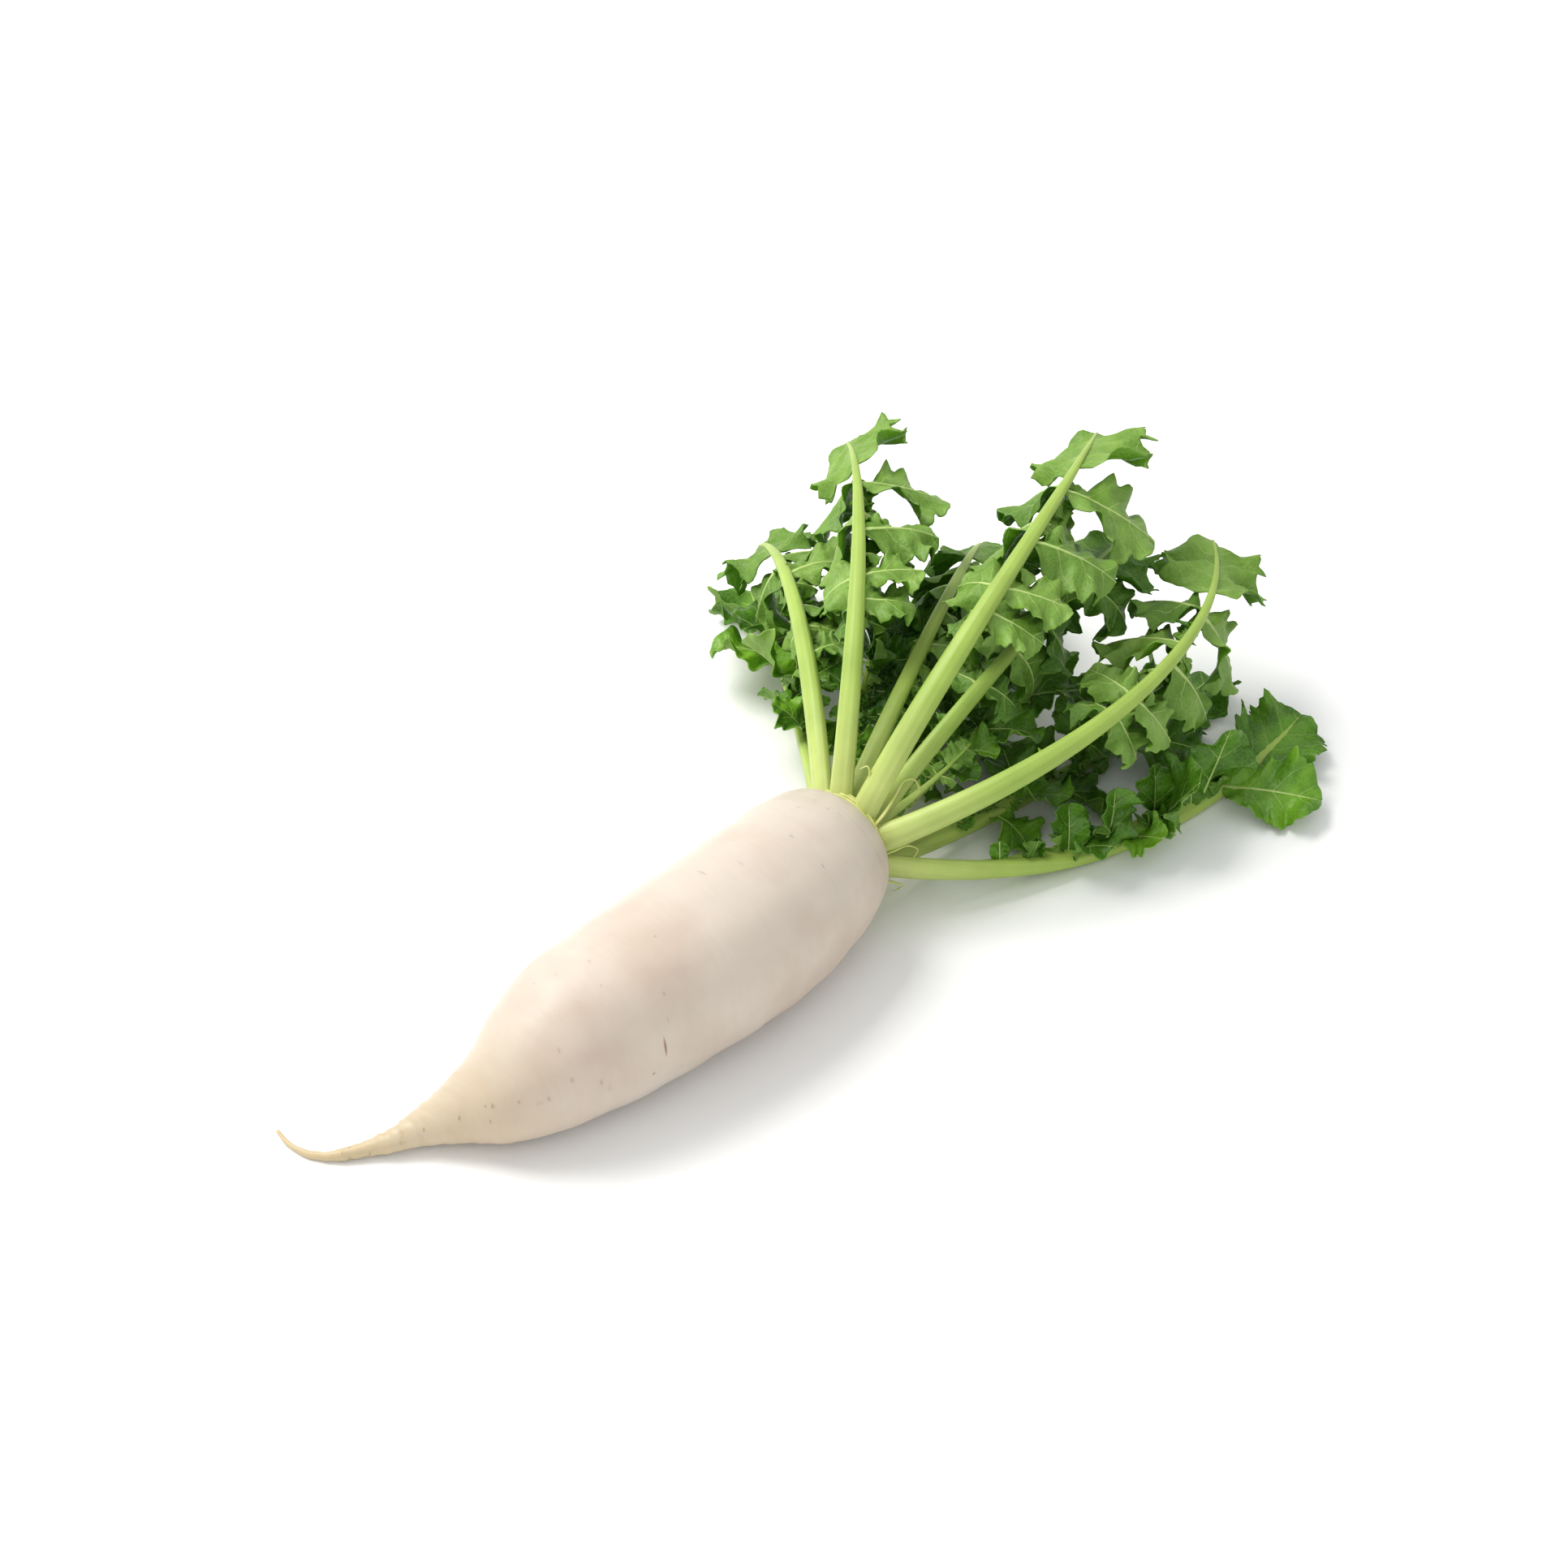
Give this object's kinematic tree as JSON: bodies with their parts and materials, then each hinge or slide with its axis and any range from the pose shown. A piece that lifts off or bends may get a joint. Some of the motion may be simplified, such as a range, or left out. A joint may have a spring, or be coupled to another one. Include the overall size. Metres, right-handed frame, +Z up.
{
  "type": "daikon radish",
  "caption": "Daikon radish as picked, lying on its side: a thick white root with a thin curled tail, and a fan of lobed green leaves on fleshy stalks.",
  "frame": {"origin": "middle of the small flat that the root rests on, under its thickest part", "axes": "+X along the root from its tail towards the leaves, +Y to the left of that, +Z up from the surface it lies on"},
  "size_m": [0.4805, 0.2883, 0.1242],
  "materials": {
    "root_skin": "smooth, faintly moist vegetable skin",
    "crown": "matt, fibrous",
    "stalk": "satin, fleshy",
    "leaf": "satin above, matt and paler below"
  },
  "bodies": {
    "root": {"root": "root_skin", "crown": "crown", "stalk_a": "stalk", "blade_a": "leaf", "stalk_b": "stalk", "blade_b": "leaf", "stalk_c": "stalk", "blade_c": "leaf", "stalk_d": "stalk", "blade_d": "leaf", "stalk_e": "stalk", "blade_e": "leaf", "stalk_f": "stalk", "blade_f": "leaf", "stalk_g": "stalk", "blade_g": "leaf", "stalk_h": "stalk", "blade_h": "leaf", "stalk_j": "stalk", "blade_j": "leaf", "stalk_k": "stalk", "blade_k": "leaf", "stalk_l": "stalk", "blade_l": "leaf", "stalk_m": "stalk", "blade_m": "leaf", "stalk_n": "stalk", "blade_n": "leaf"}
  },
  "joints": []
}
